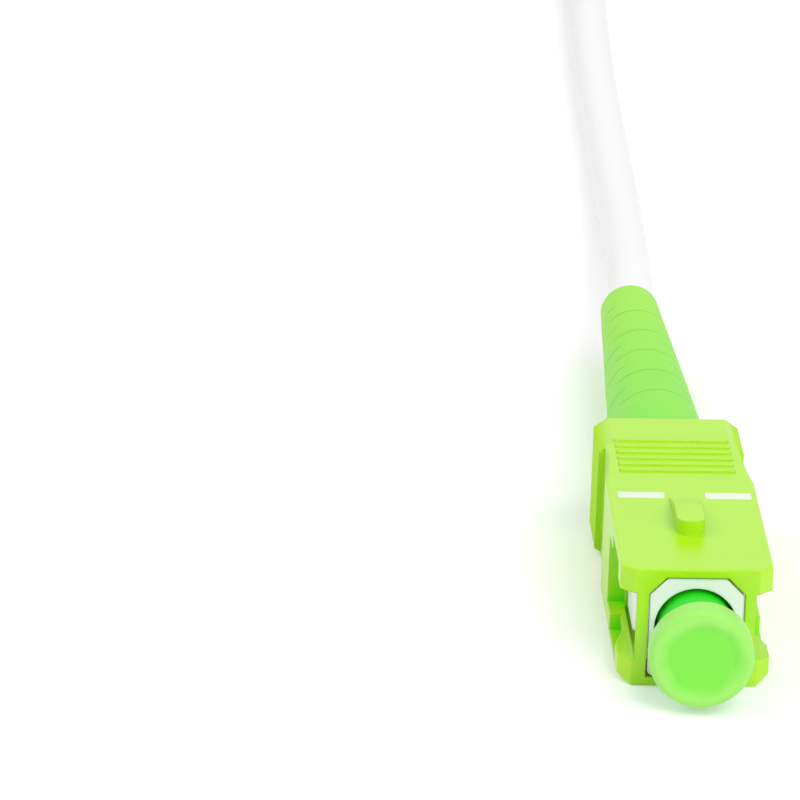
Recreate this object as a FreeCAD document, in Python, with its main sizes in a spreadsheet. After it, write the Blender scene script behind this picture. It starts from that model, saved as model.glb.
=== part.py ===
"""SC/APC fibre connector on a 3 mm simplex cable, as a parametric FreeCAD document.

Frame: +Z up, the front of the connector faces -Y, the cable leaves towards +Y.
The origin is the middle of the grip's underside, which the part rests on.
Every piece is drawn with its own Y counted from the grip's front face, and its
Placement moves it back by half the grip's length.
"""
import FreeCAD, Part
import math
import os

import Sketcher

Vector = FreeCAD.Vector
doc = FreeCAD.newDocument("sc_connector")


# --------------------------------------------------------------------------
# Driving sizes, in millimetres
# --------------------------------------------------------------------------
SIZES = [
    # outer housing: the push-pull grip
    ("grip_width", 9.0, "across the front block"),
    ("grip_height", 7.4, "top face to underside"),
    ("grip_length", 25.05, "front face to rear face"),
    ("nose_chamfer_across", 0.82, "vertical chamfer at the front corners"),
    ("nose_chamfer_along", 0.75, "the same, along the connector"),
    ("keel_chamfer_height", 0.56, "chamfer along both lower edges"),
    ("edge_round", 0.12, "rounding of the top and front edges"),
    ("collar_width", 8.9, "finger collar at the rear"),
    ("collar_length", 4.5, "finger collar along the connector"),
    ("collar_chamfer_across", 0.85, "chamfer along the collar's upper edges"),
    ("collar_chamfer_height", 0.63, "the same, in height"),
    ("waist_width", 8.14, "narrowest part of the finger waist"),
    ("waist_length", 6.3, "scooped length in front of the collar"),
    ("cavity_width", 5.7, "opening that the plug body slides in"),
    ("floor_thickness", 0.54, "lower wall of the opening"),
    ("roof_thickness", 0.53, "upper wall of the opening"),
    ("cavity_corner", 1.04, "45 degree corners at the top of the opening"),
    ("rear_bore", 6.4, "bore that clears the boot"),
    ("rear_bore_gap", 0.23, "rear bore starts this far behind the plug body"),
    ("post_thickness", 0.65, "bar beside the opening at the front"),
    ("post_depth", 0.75, "the same, along the connector"),
    ("channel_floor", 1.68, "lower edge of the side channel above the underside"),
    ("channel_roof", 5.88, "upper edge of the side channel above the underside"),
    ("channel_length", 9.2, "side channel, open at the front"),
    ("window_end", 8.3, "rear edge of the window in the side channel"),
    ("window_margin", 0.33, "window reaches this far behind the channel edges"),
    ("cam_thickness", 0.36, "release cam beside the window"),
    ("cam_depth", 0.9, "pocket outside the release cam"),
    ("cam_rear", 6.9, "rear face of that pocket"),
    ("cam_knee", 4.6, "where the cam starts to flare outwards"),
    ("cam_front", 2.5, "where the flare meets the side"),
    ("key_width", 1.7, "polarity key"),
    ("key_height", 0.95, "polarity key above the top face"),
    ("key_front", 5.3, "front of the key"),
    ("key_flat", 2.9, "full-height length of the key"),
    ("key_ramp", 3.4, "length of the key's rear ramp"),
    ("key_round", 0.78, "radius of the key's front corners"),
    ("rib_count", 6, "grip ribs"),
    ("rib_pitch", 1.01, "grip ribs"),
    ("rib_span", 7.0, "rib across the connector"),
    ("rib_front", 15.84, "front face of the first rib"),
    ("rib_width", 0.45, "grip ribs"),
    ("rib_lead", 0.11, "sloping front of a rib's crest"),
    ("rib_crest", 0.2, "crest of a rib"),
    ("rib_height", 0.12, "grip ribs"),
    ("rib_drop", 0.03, "front edge of a rib below its crest"),
    ("groove_width", 0.45, "grip grooves in the underside"),
    ("groove_depth", 0.2, "the same, depth"),
    ("groove_flank", 0.1, "sloping sides of a groove"),
    # plug body: the inner housing
    ("slide_gap", 0.09, "gap between grip and plug body, each side"),
    ("body_recess", 0.12, "plug body's front face behind the grip's"),
    ("body_length", 19.7, "plug body"),
    ("body_corner", 0.35, "radius of the lower corners"),
    ("sleeve_bore", 4.9, "front bore that takes the adapter's sleeve"),
    ("sleeve_bore_depth", 7.3, "depth of that bore"),
    ("web_thickness", 1.2, "web that the ferrule flange seats on"),
    ("web_hole", 3.0, "hole in that web"),
    ("spring_bore", 4.7, "rear bore with the spring"),
    ("catch_proud", 0.6, "side catch beyond the plug body"),
    ("catch_front", 2.95, "front of the side catch"),
    ("catch_rear", 8.0, "rear of the side catch"),
    ("catch_ramp", 1.3, "lead-in ramp of the side catch"),
    ("ear_width", 1.8, "rear body's snap ears, in height"),
    ("ear_length", 1.3, "rear body's snap ears, along the connector"),
    ("ear_ramp", 0.8, "lead-in ramp of a snap ear"),
    ("ear_cover", 0.06, "ear's top below the plug body's side"),
    ("ear_end", 0.8, "ears in front of the plug body's rear face"),
    ("ear_gap", 0.1, "window round a snap ear"),
    # ferrule and its flange
    ("ferrule_diameter", 2.5, "ceramic ferrule"),
    ("ferrule_length", 10.5, "ceramic ferrule"),
    ("ferrule_proud", 0.7, "ferrule tip in front of the grip"),
    ("ferrule_chamfer", 0.35, "lead-in cone at the tip"),
    ("polish_angle", 8.0, "angled end face, degrees"),
    ("fibre_bore", 0.13, "capillary in the ferrule"),
    ("fibre_diameter", 0.125, "bare glass fibre"),
    ("fibre_recess", 0.02, "fibre's end behind the polished face"),
    ("flange_diameter", 4.4, "ferrule flange"),
    ("flange_thickness", 2.4, "ferrule flange"),
    ("flange_gap", 0.05, "flange behind its seat"),
    ("flange_slot", 0.7, "tuning slots in the flange"),
    ("flange_web", 0.1, "flange left between its tube and a slot"),
    ("tail_diameter", 3.0, "tube behind the flange"),
    ("tail_entry", 0.17, "tube's end inside the rear body's pocket"),
    ("tail_bore", 1.2, "bore for the buffered fibre"),
    ("guide_reach", 2.0, "guide tube beyond the tube behind the flange"),
    ("guide_bore", 0.96, "guide tube round the buffer"),
    ("buffer_diameter", 0.9, "tight buffer"),
    ("buffer_end_gap", 1.1, "buffer's end in front of the cable jacket"),
    # spring
    ("spring_wire", 0.45, "wire of the ferrule spring"),
    ("spring_mean", 3.8, "mean diameter of the ferrule spring"),
    ("spring_turns", 5.5, "active turns"),
    ("spring_ground", 0.2, "part of a turn that is ground off the ends"),
    # rear body, crimp ring and strength member
    ("stopper_insert", 2.52, "rear body inside the plug body"),
    ("stopper_pocket", 2.0, "pocket that the flange tube slides into"),
    ("stopper_pocket_bore", 3.4, "the same, bore"),
    ("stopper_collar", 5.3, "collar behind the plug body"),
    ("stopper_collar_length", 0.6, "the same, length"),
    ("barrel_diameter", 3.4, "crimp barrel"),
    ("barrel_length", 6.2, "crimp barrel"),
    ("barrel_bore", 1.4, "bore of the barrel"),
    ("barrel_groove", 0.12, "depth of the gripping grooves"),
    ("barrel_groove_count", 5, "gripping grooves"),
    ("yarn_thickness", 0.2, "aramid yarn folded over the barrel"),
    ("crimp_wall", 0.38, "crimp ring"),
    ("crimp_gap", 0.15, "crimp ring behind the collar"),
    ("crimp_cone", 1.2, "taper between its two diameters"),
    ("crimp_over", 0.2, "crimp ring's wide end beyond the barrel"),
    ("crimp_neck_length", 5.2, "narrow end on the jacket"),
    ("jacket_grip", 4.0, "jacket inside the crimp ring"),
    # boot
    ("boot_gap", 1.98, "boot's front end behind the rear body's collar"),
    ("boot_diameter", 6.0, "straight part of the boot"),
    ("boot_straight", 8.1, "length of the straight part"),
    ("boot_length", 31.9, "boot, front end to rear end"),
    ("boot_tip_diameter", 3.8, "rear end of the boot"),
    ("boot_bevel", 0.3, "front edge of the boot"),
    ("boot_step_gap", 0.3, "boot's inner step behind the crimp ring"),
    ("boot_tip_round", 0.12, "rounding of the rear edge"),
    ("fit_gap", 0.1, "gap between boot and crimp ring"),
    ("boot_play", 0.15, "gap round the jacket in the boot, where the cable bends"),
    ("slit_width", 0.08, "flex slits"),
    ("slit_floor", 0.3, "boot wall left under a slit"),
    ("slit_pitch", 4.15, "flex slits of one row"),
    ("slit_count", 5, "flex slits of one row"),
    ("slit_lead", 1.6, "first slit behind the start of the taper"),
    ("slit_angle", 104, "arc of one slit, degrees"),
    # dust cap
    ("cap_head_diameter", 6.2, "dust cap head"),
    ("cap_head_front", 5.0, "head's front face in front of the grip"),
    ("cap_head_length", 1.7, "dust cap head"),
    ("cap_head_round", 0.5, "front edge of the head"),
    ("cap_back_round", 0.2, "rear edge of the head"),
    ("cap_dish_diameter", 4.7, "shallow dish in the head's face"),
    ("cap_dish_depth", 0.12, "the same, depth"),
    ("cap_dish_slope", 0.45, "the same, breadth of its sloping rim"),
    ("cap_neck_diameter", 4.4, "sleeve of the cap"),
    ("cap_neck_depth", 5.2, "sleeve reaches this far behind the grip's front"),
    ("cap_play", 0.08, "cap's bore around the ferrule"),
    ("cap_floor_gap", 0.7, "bore goes this far beyond the ferrule tip"),
    # cable
    ("cable_diameter", 3.0, "simplex cable jacket"),
    ("jacket_play", 0.05, "gap round the jacket in the crimp ring"),
    # cable put away: folded into a hank of four layers, held by two ties
    ("hank_lead", 15.0, "straight lead into the hank"),
    ("hank_run", 24.0, "straight part of the hank, between its folds"),
    ("hank_fold", 9.2, "radius of the inner folds"),
    ("hank_pitch", 3.1, "from one turn to the next, across and up"),
    ("hank_columns", 2, "turns side by side"),
    ("hank_layers", 4, "turns on each other"),
    ("hank_climb_out", 2.0, "near end: outer turns that climb reach this far out"),
    ("hank_climb_in", 3.0, "near end: inner turns that climb reach this far in"),
    ("hank_bevel", 0.85, "bevel where the outer turns round off"),
    ("tie_thickness", 0.4, "tie round the hank"),
    ("tie_width", 5.0, "tie round the hank"),
]


# Allowances of the construction: they change no finished size
REACH = 0.2  # a feature's profile goes this far into or past the solid
MEET = 0.01  # two cuts that meet end to end share this length

# The cable's path and the test of its tube
ARC_SHARE = 0.45  # of the shorter run, taken by the arc at each of its ends
VOLUME_ERROR = 0.01  # largest share that the tube's volume may be off


class Size:
    """A number from the sheet, or worked out from it, with its expression."""

    def __init__(self, value, text):
        self.value = float(value)
        self.text = text

    @staticmethod
    def of(other):
        return other if isinstance(other, Size) else Size(other, repr(float(other)))

    def __add__(self, other):
        other = Size.of(other)
        return Size(self.value + other.value, f"({self.text} + {other.text})")

    def __sub__(self, other):
        other = Size.of(other)
        return Size(self.value - other.value, f"({self.text} - {other.text})")

    def __mul__(self, other):
        other = Size.of(other)
        return Size(self.value * other.value, f"({self.text} * {other.text})")

    def __truediv__(self, other):
        other = Size.of(other)
        return Size(self.value / other.value, f"({self.text} / {other.text})")

    def __neg__(self):
        return Size(-self.value, f"(0 - {self.text})")

    def __radd__(self, other):
        return Size.of(other) + self

    def __rsub__(self, other):
        return Size.of(other) - self

    def __rmul__(self, other):
        return Size.of(other) * self


sheet = doc.addObject("Spreadsheet::Sheet", "sizes")
sheet.Label = "sizes"
size = {}
for row, (alias, number, note) in enumerate(SIZES, start=1):
    sheet.set(f"A{row}", alias.replace("_", " "))
    sheet.set(f"B{row}", str(number))
    sheet.setAlias(f"B{row}", alias)
    sheet.set(f"C{row}", note)
    size[alias] = Size(number, f"sizes.{alias}")
doc.recompute()


class Sizes:
    """The sheet's sizes as attributes."""

    def __getattr__(self, name):
        return size[name]


s = Sizes()

# Stations along the connector, counted from the grip's front face
axis_height = s.grip_height / 2
collar_front = s.grip_length - s.collar_length
waist_front = collar_front - s.waist_length
channel_half = s.cavity_width / 2 + s.post_thickness
web_front = s.body_recess + s.sleeve_bore_depth
web_rear = web_front + s.web_thickness
body_rear = s.body_recess + s.body_length
cavity_end = body_rear + s.rear_bore_gap
stopper_front = body_rear - s.stopper_insert
body_width = s.cavity_width - 2 * s.slide_gap
body_bottom = s.floor_thickness + s.slide_gap
body_top = s.grip_height - s.roof_thickness - s.slide_gap
ferrule_rear = s.ferrule_length - s.ferrule_proud
flange_front = web_rear + s.flange_gap
flange_rear = flange_front + s.flange_thickness
tail_rear = stopper_front + s.tail_entry
guide_rear = tail_rear + s.guide_reach
collar_rear = body_rear + s.stopper_collar_length
barrel_rear = collar_rear + s.barrel_length
crimp_front = collar_rear + s.crimp_gap
crimp_bore = s.barrel_diameter + 2 * s.yarn_thickness
crimp_outer = crimp_bore + 2 * s.crimp_wall
crimp_wide_end = barrel_rear + s.crimp_over
crimp_neck_front = crimp_wide_end + s.crimp_cone
crimp_rear = crimp_neck_front + s.crimp_neck_length
jacket_bore = s.cable_diameter + 2 * s.jacket_play
crimp_neck = jacket_bore + 2 * s.crimp_wall
boot_bore = s.cable_diameter + 2 * s.boot_play
jacket_front = crimp_rear - s.jacket_grip
buffer_rear = jacket_front - s.buffer_end_gap
boot_front = collar_rear + s.boot_gap
boot_straight_end = boot_front + s.boot_straight
boot_tip = boot_front + s.boot_length
slit_first = boot_straight_end + s.slit_lead
ear_rear = body_rear - s.ear_end
ear_front = ear_rear - s.ear_length
ear_reach = body_width / 2 - s.ear_cover
hank_outer_fold = s.hank_fold + s.hank_pitch * (s.hank_columns - 1)
hank_leg = s.cable_diameter + s.hank_pitch * (s.hank_columns - 1)
hank_height = s.cable_diameter + s.hank_pitch * (s.hank_layers - 1)


# --------------------------------------------------------------------------
# Helpers
# --------------------------------------------------------------------------
def bind(obj, prop, value):
    """Bind one property to the sheet."""
    value = Size.of(value)
    obj.setExpression(prop, value.text)


def new_body(name, height=None):
    """A body whose local Y starts at the grip's front face."""
    body = doc.addObject("PartDesign::Body", name)
    body.Label = name
    bind(body, "Placement.Base.y", -s.grip_length / 2)
    if height is not None:
        bind(body, "Placement.Base.z", height)
    return body


def origin_feature(body, role):
    return [o for o in body.Origin.OriginFeatures if o.Role == role][0]


def new_sketch(body, name, plane, offset=None, flip=1):
    """A sketch on one of the body's own planes, moved along its normal."""
    sketch = body.newObject("Sketcher::SketchObject", name)
    sketch.AttachmentSupport = [(origin_feature(body, plane), "")]
    sketch.MapMode = "FlatFace"
    if offset is not None:
        bind(sketch, "AttachmentOffset.Base.z", flip * Size.of(offset))
    return sketch


def pin_point(sketch, tag, geometry, end, across, up):
    """Fix one end of a line by two driving distances."""
    for kind, letter, value in (("DistanceX", "across", across), ("DistanceY", "up", up)):
        value = Size.of(value)
        index = sketch.addConstraint(
            Sketcher.Constraint(kind, -1, 1, geometry, end, value.value))
        name = f"{letter}_{tag}"
        sketch.renameConstraint(index, name)
        bind(sketch, f"Constraints.{name}", value)


def arc_between(first, second, radius, side):
    """An arc of that radius from first to second, bulging to one side."""
    a = Vector(first[0], first[1], 0)
    b = Vector(second[0], second[1], 0)
    chord = b - a
    half = chord.Length / 2
    normal = Vector(-chord.y, chord.x, 0).normalize() * side
    sag = radius - math.sqrt(radius * radius - half * half)
    return Part.Arc(a, (a + b) * 0.5 + normal * sag, b)


def draw_loop(sketch, tag, points, arcs=None):
    """A closed profile: every corner is fixed, arcs take a radius."""
    arcs = arcs or {}
    points = [(Size.of(a), Size.of(b)) for a, b in points]
    first = sketch.GeometryCount
    count = len(points)
    flipped = set()
    for i in range(count):
        a = (points[i][0].value, points[i][1].value)
        b = (points[(i + 1) % count][0].value, points[(i + 1) % count][1].value)
        if i in arcs:
            radius, side = arcs[i]
            sketch.addGeometry(arc_between(a, b, radius.value, side), False)
            start = sketch.getPoint(first + i, 1)
            if (start - Vector(a[0], a[1], 0)).Length > 1e-6:
                flipped.add(i)
        else:
            sketch.addGeometry(Part.LineSegment(Vector(*a, 0), Vector(*b, 0)), False)
    for i in range(count):
        j = (i + 1) % count
        tail = 1 if i in flipped else 2
        head = 2 if j in flipped else 1
        sketch.addConstraint(
            Sketcher.Constraint("Coincident", first + i, tail, first + j, head))
    for i in range(count):
        head = 2 if i in flipped else 1
        pin_point(sketch, f"{tag}{i}", first + i, head, points[i][0], points[i][1])
    for i, (radius, side) in arcs.items():
        index = sketch.addConstraint(
            Sketcher.Constraint("Radius", first + i, radius.value))
        name = f"radius_{tag}{i}"
        sketch.renameConstraint(index, name)
        bind(sketch, f"Constraints.{name}", radius)


def draw_circle(sketch, tag, across, up, diameter):
    """A circle fixed by its centre and radius."""
    across = Size.of(across)
    up = Size.of(up)
    diameter = Size.of(diameter)
    index = sketch.addGeometry(
        Part.Circle(Vector(across.value, up.value, 0), Vector(0, 0, 1), diameter.value / 2),
        False)
    pin_point(sketch, tag, index, 3, across, up)
    constraint = sketch.addConstraint(
        Sketcher.Constraint("Radius", index, diameter.value / 2))
    sketch.renameConstraint(constraint, f"radius_{tag}")
    bind(sketch, f"Constraints.radius_{tag}", diameter / 2)


def add_feature(body, kind, name, sketch=None, length=None, **props):
    """A PartDesign feature; a missing length means through everything."""
    feature = body.newObject(f"PartDesign::{kind}", name)
    if sketch is not None:
        feature.Profile = sketch
        sketch.Visibility = False
    for prop, value in props.items():
        setattr(feature, prop, value)
    if kind in ("Pad", "Pocket"):
        if length is None:
            feature.Type = "ThroughAll"
        else:
            bind(feature, "Length", length)
    return feature


def cut_checked(body, feature):
    """Recompute and make sure that the cut removed something."""
    doc.recompute()
    before = feature.BaseFeature.Shape.Volume
    after = feature.Shape.Volume
    if after >= before - 1e-6:
        raise RuntimeError(f"{feature.Name} cuts nothing")
    return feature


def pocket(body, name, sketch, length=None, **props):
    return cut_checked(body, add_feature(body, "Pocket", name, sketch, length, **props))


def spin(body, name, sketch, kind="Revolution", angle=None, **props):
    """Turn a profile about the connector's axis, the sketch's own vertical."""
    feature = add_feature(body, kind, name, sketch, **props)
    feature.ReferenceAxis = (sketch, ["V_Axis"])
    if angle is None:
        feature.Angle = 360
    else:
        bind(feature, "Angle", angle)
    return feature


def repeat(body, name, feature, role, pitch, count):
    """Copies of a feature along one of the body's axes."""
    pattern = body.newObject("PartDesign::LinearPattern", name)
    pattern.Originals = [feature]
    pattern.Direction = (origin_feature(body, role), [""])
    pattern.Mode = "Spacing"
    bind(pattern, "Offset", pitch)
    bind(pattern, "Occurrences", count)
    body.Tip = pattern
    return pattern


def repeat_round(body, name, features, role, count):
    """Copies of features around one of the body's axes."""
    pattern = body.newObject("PartDesign::PolarPattern", name)
    pattern.Originals = features
    pattern.Axis = (origin_feature(body, role), [""])
    pattern.Angle = 360
    pattern.Occurrences = count
    body.Tip = pattern
    return pattern


def round_edges(body, name, radius, chosen):
    """Round the edges for which chosen(its bounding box) is true."""
    doc.recompute()
    base = body.Tip
    names = [f"Edge{i}" for i, edge in enumerate(base.Shape.Edges, start=1)
             if chosen(edge.BoundBox)]
    fillet = body.newObject("PartDesign::Fillet", name)
    fillet.Base = (base, names)
    bind(fillet, "Radius", radius)
    body.Tip = fillet
    print(f"{name}: {len(names)} edges")
    return fillet


def revolved(name, profile, arcs=None):
    """A turned piece: (radius, station) corners about the connector's axis."""
    body = new_body(name, axis_height)
    sketch = new_sketch(body, f"{name}_profile", "XY_Plane")
    draw_loop(sketch, "c", profile, arcs)
    spin(body, f"{name}_turned", sketch)
    return body


# --------------------------------------------------------------------------
# Outer housing: the push-pull grip
# --------------------------------------------------------------------------
def make_outer_housing():
    body = new_body("outer_housing")
    half = s.grip_width / 2
    collar_half = s.collar_width / 2
    waist_half = s.waist_width / 2
    scoop = half - waist_half
    scoop_radius = (s.waist_length * s.waist_length + scoop * scoop) / (2 * scoop)
    nose = half - s.nose_chamfer_across

    plan = new_sketch(body, "grip_plan", "XY_Plane")
    outline = [
        (nose, 0),
        (half, s.nose_chamfer_along),
        (half, waist_front),
        (waist_half, collar_front),
        (collar_half, collar_front),
        (collar_half, s.grip_length),
        (-collar_half, s.grip_length),
        (-collar_half, collar_front),
        (-waist_half, collar_front),
        (-half, waist_front),
        (-half, s.nose_chamfer_along),
        (-nose, 0),
    ]
    draw_loop(plan, "c", outline, {2: (scoop_radius, 1), 8: (scoop_radius, 1)})
    add_feature(body, "Pad", "grip_block", plan, s.grip_height)

    keel = new_sketch(body, "keel_edges", "XZ_Plane")
    out = half + REACH
    for side in (1, -1):
        draw_loop(keel, f"k{'r' if side > 0 else 'l'}", [
            (side * nose, 0),
            (side * half, s.keel_chamfer_height),
            (side * out, s.keel_chamfer_height),
            (side * out, -REACH),
            (side * nose, -REACH),
        ])
    pocket(body, "keel_chamfers", keel)

    crown = new_sketch(body, "collar_edges", "XZ_Plane", collar_front, -1)
    for side in (1, -1):
        draw_loop(crown, f"k{'r' if side > 0 else 'l'}", [
            (side * (collar_half - s.collar_chamfer_across), s.grip_height),
            (side * collar_half, s.grip_height - s.collar_chamfer_height),
            (side * out, s.grip_height - s.collar_chamfer_height),
            (side * out, s.grip_height + REACH),
            (side * (collar_half - s.collar_chamfer_across), s.grip_height + REACH),
        ])
    pocket(body, "collar_chamfers", crown)

    top = s.grip_height.value

    def outer_corner(box):
        on_top = abs(box.ZMin - top) < 1e-4 and abs(box.ZMax - top) < 1e-4
        nose_edge = box.YMax < s.nose_chamfer_along.value + 1e-4
        return on_top or nose_edge

    round_edges(body, "outer_roundings", s.edge_round, outer_corner)

    opening_half = s.cavity_width / 2
    roof = s.grip_height - s.roof_thickness
    opening = new_sketch(body, "opening_profile", "XZ_Plane")
    draw_loop(opening, "c", [
        (-opening_half, s.floor_thickness),
        (opening_half, s.floor_thickness),
        (opening_half, roof - s.cavity_corner),
        (opening_half - s.cavity_corner, roof),
        (-(opening_half - s.cavity_corner), roof),
        (-opening_half, roof - s.cavity_corner),
    ])
    pocket(body, "opening", opening, cavity_end + MEET)

    rear = new_sketch(body, "rear_bore_profile", "XZ_Plane", cavity_end, -1)
    draw_circle(rear, "bore", 0, axis_height, s.rear_bore)
    pocket(body, "rear_bore_cut", rear)

    channels = new_sketch(body, "channel_profile", "XZ_Plane")
    for side in (1, -1):
        draw_loop(channels, "r" if side > 0 else "l", [
            (side * channel_half, s.channel_floor),
            (side * out, s.channel_floor),
            (side * out, s.channel_roof),
            (side * channel_half, s.channel_roof),
        ])
    pocket(body, "hook_channels", channels, s.channel_length)

    window = new_sketch(body, "window_profile", "XZ_Plane", s.post_depth, -1)
    draw_loop(window, "c", [
        (-channel_half, s.channel_floor - s.window_margin),
        (channel_half, s.channel_floor - s.window_margin),
        (channel_half, s.channel_roof + s.window_margin),
        (-channel_half, s.channel_roof + s.window_margin),
    ])
    pocket(body, "hook_windows", window, s.window_end - s.post_depth)

    cam_half = channel_half + s.cam_thickness
    for name, level, turned in (("lower", s.channel_floor, False), ("upper", s.channel_roof, True)):
        cams = new_sketch(body, f"{name}_cam_plan", "XY_Plane", level)
        for side in (1, -1):
            draw_loop(cams, "r" if side > 0 else "l", [
                (side * cam_half, s.cam_rear),
                (side * cam_half, s.cam_knee),
                (side * half, s.cam_front),
                (side * out, s.cam_front),
                (side * out, s.cam_rear),
            ])
        pocket(body, f"{name}_cam_pockets", cams, s.cam_depth, Reversed=turned)

    key_half = s.key_width / 2
    key_knee = s.key_front + s.key_flat
    key_end = key_knee + s.key_ramp
    key_top = s.grip_height + s.key_height
    key = new_sketch(body, "key_plan", "XY_Plane", s.grip_height - REACH)
    draw_loop(key, "c", [
        (key_half, key_end),
        (-key_half, key_end),
        (-key_half, s.key_front + s.key_round),
        (-key_half + s.key_round, s.key_front),
        (key_half - s.key_round, s.key_front),
        (key_half, s.key_front + s.key_round),
    ], {2: (s.key_round, -1), 4: (s.key_round, -1)})
    add_feature(body, "Pad", "polarity_key", key, s.key_height + REACH)

    ramp = new_sketch(body, "key_ramp_side", "YZ_Plane")
    draw_loop(ramp, "c", [
        (key_knee, key_top),
        (key_end, s.grip_height),
        (key_end + REACH, s.grip_height),
        (key_end + REACH, key_top + REACH),
        (key_knee, key_top + REACH),
    ])
    pocket(body, "key_rear_ramp", ramp, s.key_width * 2, SideType="Symmetric")

    rib = new_sketch(body, "rib_side", "YZ_Plane")
    rib_rear = s.rib_front + s.rib_width
    crest_front = s.rib_front + s.rib_lead
    crest = s.grip_height + s.rib_height
    draw_loop(rib, "c", [
        (s.rib_front, s.grip_height - REACH),
        (s.rib_front, crest - s.rib_drop),
        (crest_front, crest),
        (crest_front + s.rib_crest, crest),
        (rib_rear, s.grip_height),
        (rib_rear, s.grip_height - REACH),
    ])
    rib_pad = add_feature(body, "Pad", "first_rib", rib, s.rib_span, SideType="Symmetric")
    repeat(body, "ribs", rib_pad, "Y_Axis", s.rib_pitch, s.rib_count)

    groove = new_sketch(body, "groove_side", "YZ_Plane")
    groove_rear = s.rib_front + s.groove_width
    draw_loop(groove, "c", [
        (s.rib_front, -REACH),
        (s.rib_front, 0),
        (s.rib_front + s.groove_flank, s.groove_depth),
        (groove_rear - s.groove_flank, s.groove_depth),
        (groove_rear, 0),
        (groove_rear, -REACH),
    ])
    groove_cut = pocket(body, "first_groove", groove, s.rib_span, SideType="Symmetric")
    repeat(body, "grooves", groove_cut, "Y_Axis", s.rib_pitch, s.rib_count)
    return body


# --------------------------------------------------------------------------
# Plug body: the white inner housing
# --------------------------------------------------------------------------
def make_inner_housing():
    body = new_body("inner_housing")
    half = body_width / 2
    corner = s.cavity_corner
    front = new_sketch(body, "plug_profile", "XZ_Plane", s.body_recess, -1)
    draw_loop(front, "c", [
        (-half + s.body_corner, body_bottom),
        (half - s.body_corner, body_bottom),
        (half, body_bottom + s.body_corner),
        (half, body_top - corner),
        (half - corner, body_top),
        (-half + corner, body_top),
        (-half, body_top - corner),
        (-half, body_bottom + s.body_corner),
    ], {1: (s.body_corner, -1), 7: (s.body_corner, -1)})
    add_feature(body, "Pad", "plug_block", front, s.body_length, Reversed=True)

    catch = new_sketch(body, "catch_plan", "XY_Plane",
                       s.channel_floor + s.slide_gap * 2)
    reach = half + s.catch_proud
    for side in (1, -1):
        draw_loop(catch, "r" if side > 0 else "l", [
            (side * (half - REACH), s.catch_front),
            (side * half, s.catch_front),
            (side * reach, s.catch_front + s.catch_ramp),
            (side * reach, s.catch_rear),
            (side * (half - REACH), s.catch_rear),
        ])
    add_feature(body, "Pad", "side_catches", catch,
                s.channel_roof - s.channel_floor - s.slide_gap * 4)

    bore = new_sketch(body, "sleeve_bore_profile", "XZ_Plane", s.body_recess, -1)
    draw_circle(bore, "bore", 0, axis_height, s.sleeve_bore)
    pocket(body, "sleeve_bore_cut", bore, s.sleeve_bore_depth)

    hole = new_sketch(body, "web_hole_profile", "XZ_Plane", web_front - REACH, -1)
    draw_circle(hole, "bore", 0, axis_height, s.web_hole)
    pocket(body, "web_hole_cut", hole, s.web_thickness + 2 * REACH)

    rear = new_sketch(body, "spring_bore_profile", "XZ_Plane", web_rear, -1)
    draw_circle(rear, "bore", 0, axis_height, s.spring_bore)
    pocket(body, "spring_bore_cut", rear)

    windows = new_sketch(body, "ear_window_plan", "XY_Plane", axis_height)
    inside = s.tail_diameter / 2
    for side in (1, -1):
        draw_loop(windows, "r" if side > 0 else "l", [
            (side * inside, ear_front - s.ear_gap),
            (side * (half + REACH), ear_front - s.ear_gap),
            (side * (half + REACH), ear_rear + s.ear_gap),
            (side * inside, ear_rear + s.ear_gap),
        ])
    pocket(body, "ear_windows", windows, s.ear_width + 2 * s.ear_gap, SideType="Symmetric")
    return body


# --------------------------------------------------------------------------
# Ferrule, its flange and the fibre in it
# --------------------------------------------------------------------------
def make_ferrule():
    radius = s.ferrule_diameter / 2
    tip = -s.ferrule_proud
    body = revolved("ferrule", [
        (s.fibre_bore / 2, tip),
        (radius - s.ferrule_chamfer, tip),
        (radius, tip + s.ferrule_chamfer * 2),
        (radius, ferrule_rear),
        (s.fibre_bore / 2, ferrule_rear),
    ])
    slope = math.tan(math.radians(s.polish_angle.value))
    rise = s.ferrule_diameter * Size(slope, "tan(sizes.polish_angle * 1 deg)")
    bevel = new_sketch(body, "angled_polish", "YZ_Plane")
    draw_loop(bevel, "c", [
        (tip, -radius),
        (tip + rise, radius),
        (tip - REACH, radius),
        (tip - REACH, -radius),
    ])
    pocket(body, "angled_end", bevel, s.ferrule_diameter * 2, SideType="Symmetric")
    return body


def make_flange():
    bore = s.tail_bore / 2
    seat = s.ferrule_diameter / 2
    body = revolved("ferrule_flange", [
        (seat, flange_front),
        (s.flange_diameter / 2, flange_front),
        (s.flange_diameter / 2, flange_rear),
        (s.tail_diameter / 2, flange_rear),
        (s.tail_diameter / 2, tail_rear),
        (bore, tail_rear),
        (bore, ferrule_rear),
        (seat, ferrule_rear),
    ])
    slot = new_sketch(body, "tuning_slot_profile", "XZ_Plane", flange_front, -1)
    draw_loop(slot, "c", [
        (s.tail_diameter / 2 + s.flange_web, -(s.flange_slot / 2)),
        (s.flange_diameter, -(s.flange_slot / 2)),
        (s.flange_diameter, s.flange_slot / 2),
        (s.tail_diameter / 2 + s.flange_web, s.flange_slot / 2),
    ])
    first = pocket(body, "tuning_slot", slot, s.flange_thickness)
    repeat_round(body, "tuning_slots", [first], "Y_Axis", 4)
    return body


def turned_rod(name, diameter, start, end):
    """A plain round rod along the connector's axis."""
    rod = doc.addObject("Part::Cylinder", name)
    rod.Label = name
    bind(rod, "Radius", diameter / 2)
    bind(rod, "Height", end - start)
    rod.Placement = FreeCAD.Placement(Vector(0, 0, 0), FreeCAD.Rotation(Vector(1, 0, 0), -90))
    bind(rod, "Placement.Base.y", start - s.grip_length / 2)
    bind(rod, "Placement.Base.z", axis_height)
    return rod


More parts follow.
